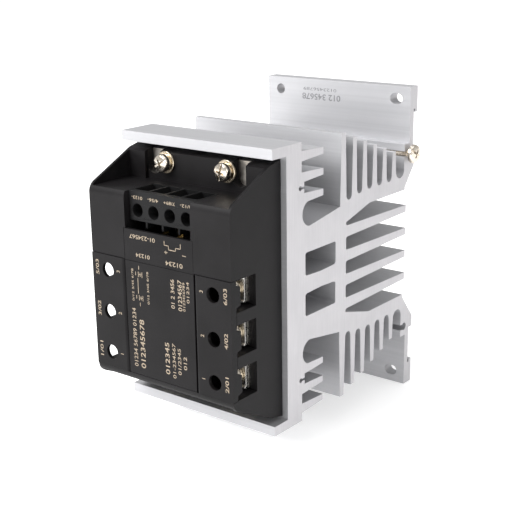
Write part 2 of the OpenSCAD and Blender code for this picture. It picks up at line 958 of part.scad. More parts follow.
// The middle phase isn't switched: one bar runs straight through
module middle_phase_busbar() {
    color("silver")
        translate([0, 0, phase_z])
            difference() {
                union() {
                    block([-pad_out_x, y_pad, -strap_half_h],
                        [pad_out_x, y_pad + strap_t, strap_half_h]);
                    for (side = [0, 1])
                        mirror([side, 0, 0])
                            block([room_x + over, y_pad, -pad_half_h],
                                [pad_out_x, y_pad + strap_t, pad_half_h]);
                }
                for (side = [-1, 1])
                    translate([side * terminal_span / 2, 0, 0])
                        rod_y(screw_d / 2 + slip, y_pad - over, y_pad + strap_t + over);
            }
}

// ---------- terminal screws ----------

// Terminals 1 to 3 run down the left side and 4 to 6 down the right
function terminal_x(n) = (n > 3 ? 1 : -1) * terminal_span / 2;
function terminal_z(n) = phase_z + (1 - (n - 1) % 3) * phase_pitch;

module at_terminal(n) {
    translate([terminal_x(n), 0, terminal_z(n)])
        children();
}

module terminal_nuts() {
    color("wheat")
        for (n = [1:6])
            at_terminal(n)
                difference() {
                    translate([0, y_pad + strap_t, 0])
                        rotate([-90, 0, 0])
                            cylinder(d = nut_af / cos(30), h = nut_t, $fn = 6);
                    rod_y(screw_d / 2 + run_fit, y_pad, y_pad + strap_t + nut_t + over);
                }
}

module power_screw(n) {
    color("wheat")
        at_terminal(n)
            pan_screw(y_head, screw_d, head_d, head_t, shaft_l);
}

module spring_washer(n) {
    color("wheat")
        at_terminal(n)
            split_washer(y_head, screw_d, head_d - 0.4, spring_t);
}

// Rectangular clamp plate with two turned-up edges that keep it from spinning
module clamp_plate(n) {
    half_x = clamp_half_x;
    half_h = pad_half_h - 0.2;
    lip = 0.8;
    color("silver")
        at_terminal(n)
            difference() {
                union() {
                    block([-half_x, y_clamp - clamp_t, -half_h], [half_x, y_clamp, half_h]);
                    for (side = [-1, 1])
                        translate([0, 0, side * (half_h - lip / 2)])
                            block([-half_x, y_clamp - clamp_t - lip, -lip / 2],
                                [half_x, y_clamp, lip / 2]);
                }
                rod_y(screw_d / 2 + run_fit, y_clamp - clamp_t - over, y_clamp + over);
            }
}

heatsink();
ground_screw();
thermal_pad();
base_plate();
module_screws();
module_spring_washers();
module_flat_washers();
case();
front_panel();
left_terminal_cover();
right_terminal_cover();
control_terminal_block();
control_contacts();
for (i = [1:4]) {
    control_screw(i);
    control_clamp(i);
}
circuit_board();
optocouplers();
snubber_capacitors();
gate_resistors();
gate_pins();
temperature_sensor();
ceramic_substrates();
thyristor_chips();
line_terminals();
load_terminals();
middle_phase_busbar();
terminal_nuts();
for (n = [1:6]) {
    power_screw(n);
    spring_washer(n);
    clamp_plate(n);
}
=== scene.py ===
import json
import math

import bmesh
import bpy
from mathutils import Matrix, Vector


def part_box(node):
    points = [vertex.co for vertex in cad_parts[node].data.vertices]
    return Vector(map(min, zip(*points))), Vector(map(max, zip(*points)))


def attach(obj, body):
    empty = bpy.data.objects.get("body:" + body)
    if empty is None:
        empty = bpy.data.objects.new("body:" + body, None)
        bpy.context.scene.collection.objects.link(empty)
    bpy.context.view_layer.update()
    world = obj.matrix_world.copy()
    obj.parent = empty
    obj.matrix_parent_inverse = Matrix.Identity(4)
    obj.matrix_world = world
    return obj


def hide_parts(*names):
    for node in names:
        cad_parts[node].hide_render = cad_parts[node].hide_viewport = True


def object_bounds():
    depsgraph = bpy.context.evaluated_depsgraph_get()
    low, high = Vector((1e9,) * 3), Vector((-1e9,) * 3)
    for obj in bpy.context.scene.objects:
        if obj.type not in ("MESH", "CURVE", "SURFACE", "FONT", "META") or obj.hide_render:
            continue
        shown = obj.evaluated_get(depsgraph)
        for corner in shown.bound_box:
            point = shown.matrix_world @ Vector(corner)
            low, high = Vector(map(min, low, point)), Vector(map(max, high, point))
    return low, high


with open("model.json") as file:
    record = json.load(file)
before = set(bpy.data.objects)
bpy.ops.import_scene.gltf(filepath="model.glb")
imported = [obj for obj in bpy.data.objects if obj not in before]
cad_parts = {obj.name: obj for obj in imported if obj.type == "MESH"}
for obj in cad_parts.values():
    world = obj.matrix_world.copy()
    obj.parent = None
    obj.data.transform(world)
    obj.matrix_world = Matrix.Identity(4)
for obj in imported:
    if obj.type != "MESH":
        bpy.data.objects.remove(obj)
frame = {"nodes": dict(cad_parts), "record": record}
CAD_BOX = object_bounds()
NODES = frame["nodes"]
BODY_OF = {n: b for b, ns in frame["record"]["behaviour"]["bodies"].items() for n in ns}
SLOT_OF = {s["node"]: s["material_slot"] for s in frame["record"]["subparts"]}
MM = 0.001


# ---------------------------------------------------------------- node helpers

class Graph:
    """A small helper that builds one material's node tree."""

    def __init__(self, name):
        self.mat = bpy.data.materials.new(name)
        self.mat.use_nodes = True
        self.tree = self.mat.node_tree
        self.shader = self.tree.nodes["Principled BSDF"]
        self.coords = self.tree.nodes.new("ShaderNodeTexCoord").outputs["Object"]

    def node(self, kind, **settings):
        n = self.tree.nodes.new(kind)
        for k, v in settings.items():
            setattr(n, k, v)
        return n

    def link(self, a, b):
        self.tree.links.new(a, b)

    def scaled(self, x, y, z):
        """Object coordinates with another scale along each axis."""
        m = self.node("ShaderNodeMapping")
        m.inputs["Scale"].default_value = (x, y, z)
        self.link(self.coords, m.inputs["Vector"])
        return m.outputs["Vector"]

    def noise(self, vector, scale, detail=3.0, rough=0.55):
        n = self.node("ShaderNodeTexNoise")
        n.inputs["Scale"].default_value = scale
        n.inputs["Detail"].default_value = detail
        n.inputs["Roughness"].default_value = rough
        self.link(vector, n.inputs["Vector"])
        return n.outputs["Fac"]

    def cells(self, vector, scale):
        n = self.node("ShaderNodeTexVoronoi")
        n.inputs["Scale"].default_value = scale
        self.link(vector, n.inputs["Vector"])
        return n.outputs["Distance"]

    def span(self, value, low, high, a=0.0, b=1.0):
        """Maps low..high of a value to a..b, clamped."""
        n = self.node("ShaderNodeMapRange")
        n.inputs["From Min"].default_value = low
        n.inputs["From Max"].default_value = high
        n.inputs["To Min"].default_value = a
        n.inputs["To Max"].default_value = b
        self.link(value, n.inputs["Value"])
        return n.outputs["Result"]

    def maths(self, op, a, b=None):
        n = self.node("ShaderNodeMath", operation=op)
        for socket, v in zip(n.inputs, (a, b)):
            if v is None:
                continue
            if isinstance(v, (int, float)):
                socket.default_value = v
            else:
                self.link(v, socket)
        return n.outputs["Value"]

    def blend(self, fac, a, b):
        """Mixes two colours, each a tuple or a socket."""
        n = self.node("ShaderNodeMix", data_type="RGBA")
        self.link(fac, n.inputs["Factor"])
        for socket, v in ((n.inputs[6], a), (n.inputs[7], b)):
            if isinstance(v, tuple):
                socket.default_value = (*v, 1)
            else:
                self.link(v, socket)
        return n.outputs[2]

    def bump(self, height, distance, strength=1.0, under=None):
        n = self.node("ShaderNodeBump")
        n.inputs["Strength"].default_value = strength
        n.inputs["Distance"].default_value = distance
        self.link(height, n.inputs["Height"])
        if under is not None:
            self.link(under, n.inputs["Normal"])
        return n.outputs["Normal"]

    def finish(self, colour=None, rough=None, normal=None, **fixed):
        if colour is not None:
            self.link(colour, self.shader.inputs["Base Color"])
        if rough is not None:
            self.link(rough, self.shader.inputs["Roughness"])
        if normal is not None:
            self.link(normal, self.shader.inputs["Normal"])
        for k, v in fixed.items():
            self.shader.inputs[k.replace("_", " ")].default_value = v
        return self.mat


def axis_share(g, axis):
    """1 where the surface faces along an axis, 0 where it lies along it."""
    geo = g.node("ShaderNodeNewGeometry")
    sep = g.node("ShaderNodeSeparateXYZ")
    g.link(geo.outputs["Normal"], sep.inputs["Vector"])
    return g.span(g.maths("ABSOLUTE", sep.outputs[axis]), 0.75, 0.98)


def aluminium():
    """Extruded, satin: die lines along the extrusion, and fine saw marks on the two cut ends."""
    g = Graph("extruded_aluminium")
    die = g.noise(g.scaled(6, 900, 900), 1.0, 4, 0.6)
    die_wide = g.noise(g.scaled(3, 160, 160), 1.0, 2, 0.5)
    saw = g.noise(g.scaled(400, 1500, 60), 1.0, 3, 0.6)
    mottle = g.noise(g.scaled(1, 1, 1), 90, 4, 0.6)
    cut = axis_share(g, "X")
    lines = g.node("ShaderNodeMix", data_type="FLOAT")
    g.link(cut, lines.inputs["Factor"])
    drawn = g.maths("ADD", g.maths("MULTIPLY", die, 0.6), g.maths("MULTIPLY", die_wide, 0.4))
    g.link(drawn, lines.inputs[2])
    g.link(saw, lines.inputs[3])
    height = lines.outputs[0]
    tone = g.span(height, 0.3, 0.7, 0.0, 1.0)
    body = g.blend(tone, (0.425, 0.425, 0.44), (0.50, 0.50, 0.515))
    face = g.blend(tone, (0.475, 0.465, 0.48), (0.535, 0.525, 0.54))
    colour = g.blend(cut, body, face)
    colour = g.blend(g.span(mottle, 0.42, 0.62, 0.0, 0.14), colour, (0.42, 0.42, 0.435))
    rough = g.span(g.maths("ADD", height, mottle), 0.6, 1.4, 0.40, 0.54)
    normal = g.bump(height, 0.00006, 0.5, g.bump(mottle, 0.0001, 0.25))
    return g.finish(colour, rough, normal, Metallic=0.5)


def plastic(name, low, high, gloss=0.44, grain=1.0):
    """Moulded plastic with a fine spark-eroded grain, and painted glint specks on its grain."""
    g = Graph(name)
    cells = g.cells(g.scaled(1, 1, 1), 2600)
    fine = g.noise(g.scaled(1, 1, 1), 3400, 2, 0.5)
    wide = g.noise(g.scaled(1, 1, 1), 55, 3, 0.5)
    grain_h = g.maths("ADD", g.maths("MULTIPLY", cells, 0.7), g.maths("MULTIPLY", fine, 0.5))
    colour = g.blend(g.span(wide, 0.35, 0.65), low, high)
    # Painted glint: the finest grain specks get a much lighter colour, standing in for tiny highlights.
    painted_glint = tuple(min(1.0, c * 1.7 + 0.004) for c in high)
    colour = g.blend(g.span(fine, 0.6, 0.75, 0.0, 0.35), colour, painted_glint)
    rough = g.span(g.maths("ADD", grain_h, wide), 0.6, 1.5, gloss - 0.05, gloss + 0.08)
    normal = g.bump(grain_h, 0.00003 * grain, 0.55, g.bump(wide, 0.0004, 0.06))
    return g.finish(colour, rough, normal, Specular_IOR_Level=0.13)


def plated(name, low, high, rough_low, rough_high, lines=(500, 500, 500)):
    """Plated steel with a slightly cloudy passivation and fine tool marks."""
    g = Graph(name)
    cloud = g.noise(g.scaled(1, 1, 1), 420, 4, 0.6)
    marks = g.noise(g.scaled(*lines), 1.0, 3, 0.6)
    colour = g.blend(g.span(cloud, 0.35, 0.65), low, high)
    rough = g.span(g.maths("ADD", cloud, marks), 0.7, 1.3, rough_low, rough_high)
    normal = g.bump(marks, 0.00004, 0.5)
    return g.finish(colour, rough, normal, Metallic=1.0)


def printed():
    """Screen-printed ink, slightly worn."""
    g = Graph("printed_ink")
    worn = g.noise(g.scaled(1, 1, 1), 2500, 3, 0.6)
    colour = g.blend(g.span(worn, 0.45, 0.62), (0.36, 0.29, 0.21), (0.26, 0.21, 0.155))
    return g.finish(colour, g.span(worn, 0.3, 0.7, 0.5, 0.7), g.bump(worn, 0.00001, 0.3))


def label_ink():
    """Dark grey ink on the aluminium."""
    g = Graph("label_ink")
    worn = g.noise(g.scaled(1, 1, 1), 2200, 3, 0.6)
    colour = g.blend(g.span(worn, 0.4, 0.65), (0.16, 0.16, 0.17), (0.30, 0.30, 0.31))
    return g.finish(colour, g.span(worn, 0.3, 0.7, 0.5, 0.7), g.bump(worn, 0.00001, 0.3))


def board():
    """Solder resist over copper tracks."""
    g = Graph("circuit_board_resist")
    tracks = g.node("ShaderNodeTexBrick", offset=0.5)
    tracks.inputs["Scale"].default_value = 240
    tracks.inputs["Mortar Size"].default_value = 0.03
    g.link(g.scaled(1, 1, 1), tracks.inputs["Vector"])
    weave = g.noise(g.scaled(1, 1, 1), 900, 3, 0.5)
    colour = g.blend(tracks.outputs["Fac"], (0.012, 0.11, 0.045), (0.03, 0.2, 0.08))
    colour = g.blend(g.span(weave, 0.45, 0.7, 0, 0.3), colour, (0.01, 0.07, 0.03))
    return g.finish(colour, g.span(weave, 0.3, 0.7, 0.3, 0.42), g.bump(tracks.outputs["Fac"], 0.00003, 0.6))


def fired(name, low, high, gloss):
    """A ceramic, lacquered or moulded surface with a fine speckle."""
    g = Graph(name)
    speck = g.noise(g.scaled(1, 1, 1), 1600, 4, 0.65)
    wide = g.noise(g.scaled(1, 1, 1), 180, 2, 0.5)
    colour = g.blend(g.span(g.maths("ADD", speck, wide), 0.8, 1.2), low, high)
    return g.finish(colour, g.span(speck, 0.3, 0.7, gloss, gloss + 0.12), g.bump(speck, 0.00002, 0.5))


BLACK_LOW, BLACK_HIGH = (0.0062, 0.0056, 0.006), (0.0098, 0.009, 0.0096)
MATERIALS = {
    "aluminium": aluminium(),
    "case_plastic": plastic("case_plastic", BLACK_LOW, BLACK_HIGH, 0.42),
    "panel_plastic": plastic("panel_plastic", BLACK_LOW, BLACK_HIGH, 0.46, 1.3),
    "cover_plastic": plastic("cover_plastic", BLACK_LOW, BLACK_HIGH, 0.44, 1.2),
    "block_plastic": plastic("block_plastic", (0.007, 0.007, 0.0072), (0.011, 0.011, 0.0115), 0.46),
    "plated_screw": plated("plated_screw", (0.62, 0.55, 0.46), (0.82, 0.76, 0.67), 0.14, 0.26),
    "plated_washer": plated("plated_washer", (0.60, 0.50, 0.37), (0.80, 0.70, 0.54), 0.16, 0.30),
    "clamp_metal": plated("clamp_metal", (0.62, 0.60, 0.56), (0.78, 0.76, 0.72), 0.2, 0.36, (80, 900, 900)),
    "terminal_metal": plated("terminal_metal", (0.60, 0.58, 0.53), (0.76, 0.73, 0.68), 0.22, 0.4,
                             (80, 900, 900)),
    # contact_metal: a brass colour, made darker than plain brass as painted shade for the contacts under the
    # control block.
    "contact_metal": plated("contact_metal", (0.34, 0.25, 0.11), (0.48, 0.37, 0.18), 0.28, 0.44),
    "base_metal": plated("base_metal", (0.50, 0.46, 0.42), (0.66, 0.62, 0.57), 0.34, 0.5, (900, 900, 60)),
    "thermal_pad": fired("thermal_pad", (0.42, 0.42, 0.43), (0.55, 0.55, 0.56), 0.7),
    "board": board(),
    "optocoupler": fired("optocoupler_body", (0.66, 0.65, 0.6), (0.78, 0.77, 0.72), 0.45),
    "capacitor": fired("capacitor_body", (0.02, 0.07, 0.32), (0.04, 0.11, 0.42), 0.25),
    "resistor": fired("resistor_body", (0.42, 0.30, 0.16), (0.55, 0.42, 0.25), 0.4),
    "sensor": fired("sensor_body", (0.012, 0.012, 0.013), (0.03, 0.03, 0.032), 0.4),
    "ceramic": fired("ceramic_plate", (0.74, 0.73, 0.7), (0.85, 0.84, 0.82), 0.5),
    "chip": fired("chip_face", (0.05, 0.05, 0.06), (0.12, 0.12, 0.14), 0.15),
}
INK = printed()
LABEL_INK = label_ink()


# ---------------------------------------------------------------- geometry helpers

def place(name, mesh, material_slot, body, material=None):
    """A new piece from a finished mesh, riding on a body."""
    o = bpy.data.objects.new(name, mesh)
    bpy.context.scene.collection.objects.link(o)
    if not mesh.materials:
        mesh.materials.append(material or MATERIALS[material_slot])
    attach(o, body)
    return o


def mesh_from(bm, name, smooth_angle=32):
    """Closes a bmesh into a mesh with outward normals, smooth except at its sharp edges."""
    bmesh.ops.remove_doubles(bm, verts=bm.verts, dist=1e-7)
    bmesh.ops.recalc_face_normals(bm, faces=bm.faces)
    for f in bm.faces:
        f.smooth = True
    limit = math.radians(smooth_angle)
    for e in bm.edges:
        e.smooth = len(e.link_faces) == 2 and e.calc_face_angle(0) < limit
    mesh = bpy.data.meshes.new(name)
    bm.to_mesh(mesh)
    bm.free()
    return mesh


def lathe(bm, profile, steps=64, close=False):
    """Revolves (radius, y) points about the Y axis. Radius 0 makes a pole."""
    rings = []
    for r, y in profile:
        if r < 1e-9:
            rings.append([bm.verts.new((0, y, 0))])
            continue
        turn = [math.tau * k / steps for k in range(steps)]
        rings.append([bm.verts.new((r * math.cos(a), y, r * math.sin(a))) for a in turn])
    pairs = list(zip(rings, rings[1:])) + ([(rings[-1], rings[0])] if close else [])
    for a, b in pairs:
        for k in range(steps):
            n = (k + 1) % steps
            quad = [a[k % len(a)], a[n % len(a)], b[n % len(b)], b[k % len(b)]]
            face = list(dict.fromkeys(quad))
            if len(face) > 2:
                bm.faces.new(face)


def thread(bm, r, pitch, y0, y1, steps=40, rows=6):
    """A helical V thread from y0 to y1, closed at its far end with a chamfer."""
    depth = pitch * 0.55
    count = int((y1 - y0) / pitch * rows)
    rings = []
    for j in range(count + 1):
        y = y0 + (y1 - y0) * j / count
        ring = []
        for k in range(steps):
            phase = (y / pitch - k / steps) % 1.0
            vee = abs(2 * phase - 1)
            fade = min(1.0, (y - y0) / pitch, (y1 - y) / pitch)
            rr = r - depth * (1 - min(1.0, vee * 1.25)) * max(0.0, fade)
            rr -= max(0.0, 1 - (y1 - y) / (0.6 * pitch)) * 0.35 * pitch
            a = math.tau * k / steps
            ring.append(bm.verts.new((rr * math.cos(a), y, rr * math.sin(a))))
        rings.append(ring)
    for a, b in zip(rings, rings[1:]):
        for k in range(steps):
            n = (k + 1) % steps
            bm.faces.new((a[k], a[n], b[n], b[k]))
    bm.faces.new(rings[-1])
    bm.faces.new(list(reversed(rings[0])))


def solid_box(bm, low, high):
    """A box between two corners."""
    low, high = Vector(low), Vector(high)
    made = bmesh.ops.create_cube(bm, size=1)["verts"]
    size, middle = high - low, (low + high) / 2
    for v in made:
        v.co = Vector(v.co[i] * size[i] + middle[i] for i in range(3))
    return made


def carve(target, low, high, taper=(1, 1), turn=0):
    """Cuts a box out of a mesh object. The box's far end can be smaller, and it can be turned about Y."""
    bm = bmesh.new()
    verts = solid_box(bm, low, high)
    for v in verts:
        if v.co.y > (low[1] + high[1]) / 2:
            v.co.x *= taper[0]
            v.co.z *= taper[1]
    bmesh.ops.rotate(bm, verts=verts, cent=(0, 0, 0), matrix=Matrix.Rotation(math.radians(turn), 3, "Y"))
    cutter = scratch(mesh_from(bm, "cutter"), "cutter")
    m = target.modifiers.new("cut", "BOOLEAN")
    m.object = cutter
    m.operation = "DIFFERENCE"
    m.solver = "EXACT"
    bpy.context.view_layer.update()
    made = bpy.data.meshes.new_from_object(target.evaluated_get(bpy.context.evaluated_depsgraph_get()))
    target.modifiers.clear()
    bpy.data.objects.remove(cutter)
    if len(made.polygons) < len(target.data.polygons) / 2:
        raise ValueError("the cut removed most of " + target.name)
    target.data = made


def scratch(mesh, name="scratch"):
    o = bpy.data.objects.new(name, mesh)
    bpy.context.scene.collection.objects.link(o)
    return o


def screw_mesh(name, head_r, head_h, shaft_r, length, pitch, recess, slotted=True):
    """Pan-head screw with a cross recess. Its head's seat is at y = 0 and its top towards -Y."""
    bm = bmesh.new()
    crown = 0.30 * head_h
    profile = [(0, -head_h)]
    for k in range(1, 7):
        t = k / 6
        profile.append((head_r * 0.80 * t, -head_h + crown * 0.55 * t * t))
    for k in range(1, 8):
        a = math.radians(90 * k / 7)
        profile.append((head_r * (0.80 + 0.20 * math.sin(a)),
                        -head_h + crown * 0.55 + (head_h * 0.62) * (1 - math.cos(a))))
    profile += [(head_r, -0.06 * head_h), (head_r * 0.965, 0), (shaft_r * 0.6, 0), (0, 0)]
    lathe(bm, profile, 72)
    head = scratch(mesh_from(bm, name + "_head"))
    arm = recess * 0.11
    above = -head_h - 1 * MM
    for turn in (0, 90):
        carve(head, (-recess / 2, above, -arm), (recess / 2, -head_h + recess * 0.42, arm), (0.5, 0.62), turn)
    if slotted:
        reach = head_r + 1 * MM
        carve(head, (-reach, above, -arm * 0.9), (reach, -head_h + head_h * 0.36, arm * 0.9))
    bm = bmesh.new()
    bm.from_mesh(head.data)
    bpy.data.objects.remove(head)
    thread(bm, shaft_r, pitch, -0.1 * MM, length)
    return mesh_from(bm, name, 30)


def split_ring_mesh(name, inner, outer, thick, gap_deg=9):
    """A split spring washer between y = 0 and y = thick, with its two ends a little apart."""
    bm = bmesh.new()
    steps = 72
    lift = thick * 0.16
    edge = thick * 0.14
    body_t = thick - lift
    section = [(inner, edge), (inner + edge, 0), (outer - edge, 0), (outer, edge),
               (outer, body_t - edge), (outer - edge, body_t), (inner + edge, body_t), (inner, body_t - edge)]
    rings = []
    for k in range(steps + 1):
        s = k / steps
        a = math.radians(gap_deg / 2 + (360 - gap_deg) * s)
        skew = math.radians(4)
        ring = []
        for r, y in section:
            aa = a + skew * (r - inner) / (outer - inner)
            ring.append(bm.verts.new((r * math.cos(aa), y + lift * s, r * math.sin(aa))))
        rings.append(ring)
    n = len(section)
    for a, b in zip(rings, rings[1:]):
        for i in range(n):
            j = (i + 1) % n
            bm.faces.new((a[i], a[j], b[j], b[i]))
    bm.faces.new(rings[-1])
    bm.faces.new(list(reversed(rings[0])))
    return mesh_from(bm, name, 34)


def flat_ring_mesh(name, inner, outer, thick):
    """A stamped flat washer: rounded on one side, with a small burr edge on the other."""
    bm = bmesh.new()
    e = thick * 0.22
    front = [(inner, e * 0.5), (inner + e, 0), (outer - e * 1.6, 0), (outer - e * 0.4, e * 0.5)]
    back = [(outer, e * 1.5), (outer, thick - e * 0.4), (outer - e * 0.4, thick),
            (inner + e * 0.4, thick), (inner, thick - e * 0.4)]
    lathe(bm, front + back, 72, close=True)
    return mesh_from(bm, name, 30)


def copies(name, mesh, places, slot, body, turns=None):
    """One piece made of the same mesh at several places, each turned about Y by its own angle."""
    bm = bmesh.new()
    for k, at in enumerate(places):
        part = mesh.copy()
        turn = math.radians((turns or [0] * len(places))[k])
        part.transform(Matrix.Translation(Vector(at)) @ Matrix.Rotation(turn, 4, "Y"))
        bm.from_mesh(part)
        bpy.data.meshes.remove(part)
    return place(name, mesh_from(bm, name, 30), slot, body)


def centre_of(node):
    low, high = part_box(node)
    return (low + high) / 2


def quarters(node):
    """Boxes of a CAD node's four separate solids, one in each quarter of its own box."""
    c = centre_of(node)
    found = []
    for up in (False, True):
        for right in (False, True):
            vertices = NODES[node].data.vertices
            group = [v.co for v in vertices if (v.co.z > c.z) == up and (v.co.x > c.x) == right]
            low = Vector(min(p[i] for p in group) for i in range(3))
            high = Vector(max(p[i] for p in group) for i in range(3))
            found.append((low, high))
    return found


# ---------------------------------------------------------------- carried-over CAD nodes

BEVELS = {
    "heatsink": 0.22, "case": 0.3, "front_panel": 0.16, "left_terminal_cover": 0.22,
    "right_terminal_cover": 0.22,
    "control_terminal_block": 0.14, "base_plate": 0.25, "circuit_board": 0.08, "line_terminals": 0.12,
    "load_terminals": 0.12, "middle_phase_busbar": 0.12, "control_contacts": 0.1, "optocouplers": 0.25,
    "snubber_capacitors": 0.5, "temperature_sensor": 0.15, "ceramic_substrates": 0.08,
    "thyristor_chips": 0.05,
    "terminal_nuts": 0.25, "thermal_pad": 0.05,
}
for name, o in NODES.items():
    o.data.materials.clear()
    o.data.materials.append(MATERIALS[SLOT_OF[name]])
    width = BEVELS.get(name, 0.12 if name.startswith(("clamp_plate", "control_clamp")) else 0)
    if not width:
        continue
    weld = o.modifiers.new("weld", "WELD")
    weld.merge_threshold = 2e-6
    bevel = o.modifiers.new("edges", "BEVEL")
    bevel.width = width * MM
    bevel.segments = 2
    bevel.limit_method = "ANGLE"
    bevel.angle_limit = math.radians(40)
    bevel.use_clamp_overlap = True
    bevel.harden_normals = False
    normals = o.modifiers.new("normals", "WEIGHTED_NORMAL")
    normals.keep_sharp = True
    for p in o.data.polygons:
        p.use_smooth = True


# ---------------------------------------------------------------- fasteners

def replace_screw(node, mesh, at, slot, turn=0.0, flip=None):
    """Puts a detailed mesh where a CAD screw or washer is, in place of it."""
    o = bpy.data.objects.new(node + "_detailed", mesh)
    bpy.context.scene.collection.objects.link(o)
    if not mesh.materials:
        mesh.materials.append(MATERIALS[slot])
    spin = Matrix.Rotation(math.radians(turn), 4, "Y")
    o.matrix_world = Matrix.Translation(at) @ (flip or Matrix.Identity(4)) @ spin
    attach(o, BODY_OF[node])
    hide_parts(node)
    return o


power_low, power_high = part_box("power_screw_1")
POWER_R = (power_high.x - power_low.x) / 2
POWER_HEAD = 3.0 * MM
power_mesh = screw_mesh("power_screw_mesh", POWER_R, POWER_HEAD, 2.5 * MM,
                        power_high.y - power_low.y - POWER_HEAD, 0.8 * MM, POWER_R * 1.25)
washer_low, washer_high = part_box("spring_washer_1")
WASHER_R = (washer_high.x - washer_low.x) / 2
spring_mesh = split_ring_mesh("spring_washer_mesh", 2.56 * MM, WASHER_R, washer_high.y - washer_low.y)
POWER_TURNS = (18, 62, 35, 74, 12, 48)
SPLIT_TURNS = (200, 250, 160, 75, 110, 40)
for n in range(1, 7):
    node = f"power_screw_{n}"
    c, (low, high) = centre_of(node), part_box(node)
    seat = Vector((c.x, low.y + POWER_HEAD, c.z))
    replace_screw(node, power_mesh, seat, "plated_screw", POWER_TURNS[n - 1])
    node = f"spring_washer_{n}"
    c, (low, high) = centre_of(node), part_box(node)
    replace_screw(node, spring_mesh, Vector((c.x, low.y, c.z)), "plated_washer", SPLIT_TURNS[n - 1])

module = quarters("module_screws")
MODULE_R = (module[0][1].x - module[0][0].x) / 2
MODULE_HEAD = 2.6 * MM
module_mesh = screw_mesh("module_screw_mesh", MODULE_R, MODULE_HEAD, 2 * MM,
                         module[0][1].y - module[0][0].y - MODULE_HEAD, 0.7 * MM, MODULE_R * 1.2)
spots = [Vector(((a.x + b.x) / 2, a.y + MODULE_HEAD, (a.z + b.z) / 2)) for a, b in module]
screws = copies("module_screws_detailed", module_mesh, spots, "plated_screw", "relay", (20, 65, 152, 105))
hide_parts("module_screws")
springs = quarters("module_spring_washers")
ring = split_ring_mesh("module_spring_mesh", 2.06 * MM, MODULE_R - 0.2 * MM,
                       springs[0][1].y - springs[0][0].y)
spots = [Vector((s.x, springs[0][0].y, s.z)) for s in spots]
rings = copies("module_spring_washers_detailed", ring, spots, "plated_washer", "relay", (40, 300, 210, 120))
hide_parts("module_spring_washers")
flats = quarters("module_flat_washers")
FLAT_R = (flats[0][1].x - flats[0][0].x) / 2
disc = flat_ring_mesh("module_flat_mesh", 2.06 * MM, FLAT_R, flats[0][1].y - flats[0][0].y)
spots = [Vector((s.x, flats[0][0].y, s.z)) for s in spots]
discs = copies("module_flat_washers_detailed", disc, spots, "plated_washer", "relay")
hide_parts("module_flat_washers")

low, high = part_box("ground_screw")
GROUND_R = (high.z - low.z) / 2
GROUND_HEAD = 2.6 * MM
ground_mesh = screw_mesh("ground_screw_mesh", GROUND_R, GROUND_HEAD, 1.79 * MM, high.x - low.x - GROUND_HEAD,
                         0.7 * MM, GROUND_R * 1.15)
c = centre_of("ground_screw")
replace_screw("ground_screw", ground_mesh, Vector((high.x - GROUND_HEAD, c.y, c.z)), "plated_screw", 30,
              Matrix.Rotation(math.radians(90), 4, "Z"))

low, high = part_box("control_screw_1")
CONTROL_R = (high.x - low.x) / 2
CONTROL_HEAD = 2.0 * MM
control_mesh = screw_mesh("control_screw_mesh", CONTROL_R, CONTROL_HEAD, 1.5 * MM,
                          high.y - low.y - CONTROL_HEAD, 0.5 * MM, CONTROL_R * 1.25)
for i, turn in zip(range(1, 5), (10, 55, 140, 80)):
    node = f"control_screw_{i}"
    c, (low, high) = centre_of(node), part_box(node)
    replace_screw(node, control_mesh, Vector((c.x, low.y + CONTROL_HEAD, c.z)), "plated_screw", turn)


# ---------------------------------------------------------------- generic printing

INK_T = 0.03 * MM
# Where a row of digits reads to, and which way its digits stand
READ = {"down_top": (Vector((-1, 0, 0)), Vector((0, 0, -1))),
        "up": (Vector((0, 0, 1)), Vector((-1, 0, 0)))}


def digits_mesh(text, size, way, at, width=None, bold=0.0):
    """A closed thin mesh of digits on a plane that faces -Y, centred on a point."""
    curve = bpy.data.curves.new("digits", "FONT")
    curve.body = text
    curve.size = size * 1.38
    curve.align_x = "CENTER"
    curve.align_y = "CENTER"
    curve.extrude = INK_T / 2
    curve.offset = bold
    curve.resolution_u = 3
    o = scratch(curve, "digits")
    bpy.context.view_layer.update()
    mesh = bpy.data.meshes.new_from_object(o.evaluated_get(bpy.context.evaluated_depsgraph_get()))
    bpy.data.objects.remove(o)
    xs = [v.co.x for v in mesh.vertices]
    ys = [v.co.y for v in mesh.vertices]
    middle = Vector(((min(xs) + max(xs)) / 2, (min(ys) + max(ys)) / 2, 0))
    stretch = width / (max(xs) - min(xs)) if width else 1.0
    right, up = READ[way]
    turn = Matrix((right, up, right.cross(up))).transposed().to_4x4()
    move = Matrix.Translation(Vector(at)) @ turn @ Matrix.Diagonal((stretch, 1, 1, 1))
    mesh.transform(move @ Matrix.Translation(-middle))
    return mesh


def printing(name, items, body, material, bars=()):
    """Joins digits and plain bars into one printed piece, which stands just proud of its plane."""
    bm = bmesh.new()
    for item in items:
        part = digits_mesh(**item)
        bm.from_mesh(part)
        bpy.data.meshes.remove(part)
    for x0, z0, x1, z1, y in bars:
        solid_box(bm, (min(x0, x1), y - INK_T / 2, min(z0, z1)), (max(x0, x1), y + INK_T / 2, max(z0, z1)))
    return place(name, mesh_from(bm, name, 30), "panel_plastic", body, material)


panel_low, panel_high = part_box("front_panel")
PANEL_Y = panel_low.y - INK_T * 0.45
PANEL_X0, PANEL_Z0 = panel_low.x, panel_low.z
PANEL_W, PANEL_H = panel_high.x - panel_low.x, panel_high.z - panel_low.z


def on_panel(u, v):
    """A point on the panel from shares of its width and height."""
    return Vector((PANEL_X0 + u * PANEL_W, PANEL_Y, PANEL_Z0 + v * PANEL_H))


def column(text, u, v0, v1, size, bold=0.0):
    """A row of digits that reads up the panel between two heights."""
    return {"text": text, "size": size * MM, "way": "up", "at": on_panel(u, (v0 + v1) / 2),
            "width": (v1 - v0) * PANEL_H, "bold": bold}


